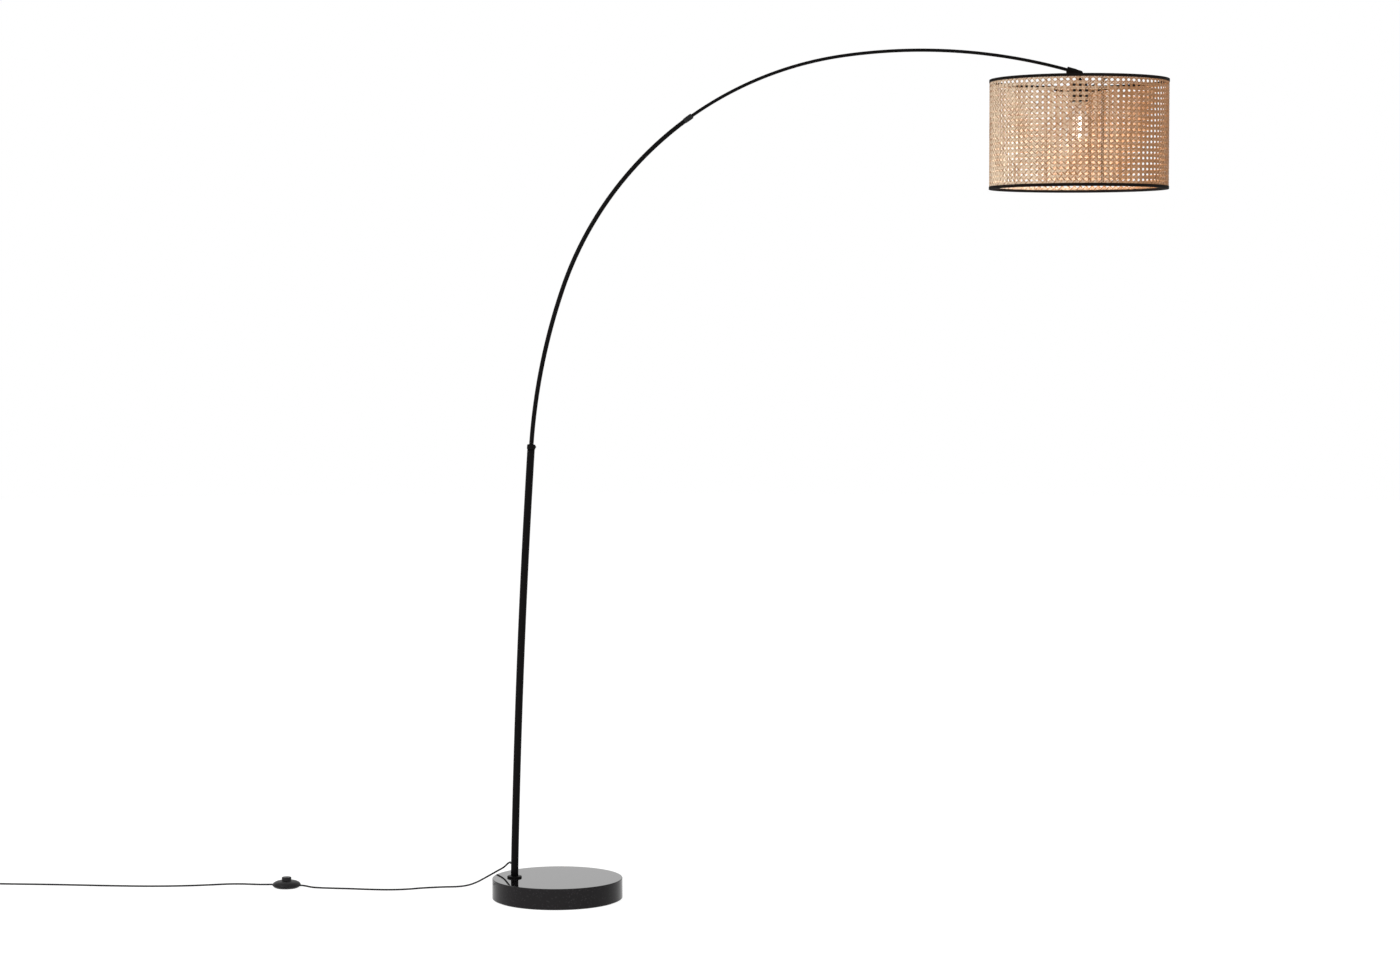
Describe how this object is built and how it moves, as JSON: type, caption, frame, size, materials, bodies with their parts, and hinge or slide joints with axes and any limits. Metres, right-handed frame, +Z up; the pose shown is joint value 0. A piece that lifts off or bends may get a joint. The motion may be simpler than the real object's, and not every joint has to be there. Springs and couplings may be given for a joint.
{
  "type": "arc floor lamp",
  "caption": "Arc floor lamp: telescoping curved arm on a heavy round base, tilting open drum shade of woven cane, clear filament bulb and a foot switch on its mains lead.",
  "frame": {"origin": "middle of the felt ring's underside, where the base stands on the floor", "axes": "+Z up; +X from the pole towards the shade; +Y away from the viewer of the picture"},
  "size_m": [2.8476, 0.4316, 1.9096],
  "materials": {
    "lacquer": "smooth satin black lacquer on steel",
    "stone": "polished black stone",
    "felt": "pressed black felt",
    "steel": "zinc plated steel",
    "soft_black": "matt black plastic",
    "black_plastic": "satin black moulded plastic",
    "nylon": "natural nylon",
    "cord_sheath": "black flexible sheath",
    "porcelain": "glazed white porcelain",
    "brass": "plain brass",
    "lamp_cap": "bright rolled screw cap",
    "clear_glass": "clear blown glass",
    "filament": "amber coated light strips",
    "cane": "open octagonal weave of natural cane strands",
    "tape": "black woven edging tape",
    "plug_pins": "nickel plated pins"
  },
  "bodies": {
    "stand": {"base_stone": "stone", "base_felt": "felt", "base_bolt": "steel", "base_washer": "steel", "base_lock_washer": "steel", "foot_plug": "steel", "foot_rosette": "lacquer", "pole_tube": "lacquer", "cord_relief": "soft_black", "pole_collar": "lacquer", "pole_grub_screw": "lacquer", "sleeve_arc": "lacquer", "reach_collar": "soft_black", "reach_bush": "nylon", "lead_lower": "cord_sheath", "switch_cover": "black_plastic", "switch_base": "black_plastic", "switch_spring": "steel", "switch_block": "nylon", "cord_to_switch": "cord_sheath", "cord_to_coil": "cord_sheath", "cord_coil": "cord_sheath", "cord_tail": "cord_sheath", "cord_tie": "tape", "plug_body": "black_plastic", "plug_pin_left": "plug_pins", "plug_pin_right": "plug_pins"},
    "arm": {"upper_arc": "lacquer", "arm_guide": "nylon", "lead_upper": "cord_sheath", "arm_knuckle": "lacquer", "pivot_screw": "lacquer", "pivot_nut": "lacquer", "pivot_washer_far": "nylon", "pivot_washer_near": "nylon"},
    "shade": {"shade_swivel": "lacquer", "holder_cap": "black_plastic", "holder_body": "black_plastic", "shade_nut": "black_plastic", "holder_insert": "porcelain", "holder_shell": "brass", "holder_contact": "brass", "lamp_cap": "lamp_cap", "lamp_tip": "brass", "bulb_glass": "clear_glass", "bulb_stem": "clear_glass", "bulb_filaments": "filament", "shade_frame": "lacquer", "shade_bottom_ring": "lacquer", "shade_cane": "cane", "shade_tape_top": "tape", "shade_tape_bottom": "tape"},
    "foot_button": {"switch_button": "black_plastic"}
  },
  "joints": [
    {"name": "reach", "type": "hinge", "parent": "stand", "child": "arm", "pos_m": [0.7508, 0, 1.12359], "axis": [0, 1, 0], "range_deg": [-15, 8], "deforming": ["lead_lower"]},
    {"name": "shade_tilt", "type": "hinge", "parent": "arm", "child": "shade", "pos_m": [1.16755, 0, 1.85506], "axis": [0, 1, 0], "range_deg": [-40, 12]},
    {"name": "button_press", "type": "slide", "parent": "stand", "child": "foot_button", "axis": [0, 0, -1], "range_m": [0, 0.004], "stiffness_N_per_m": 400, "springref_m": -0.002, "deforming": ["switch_spring"]}
  ]
}
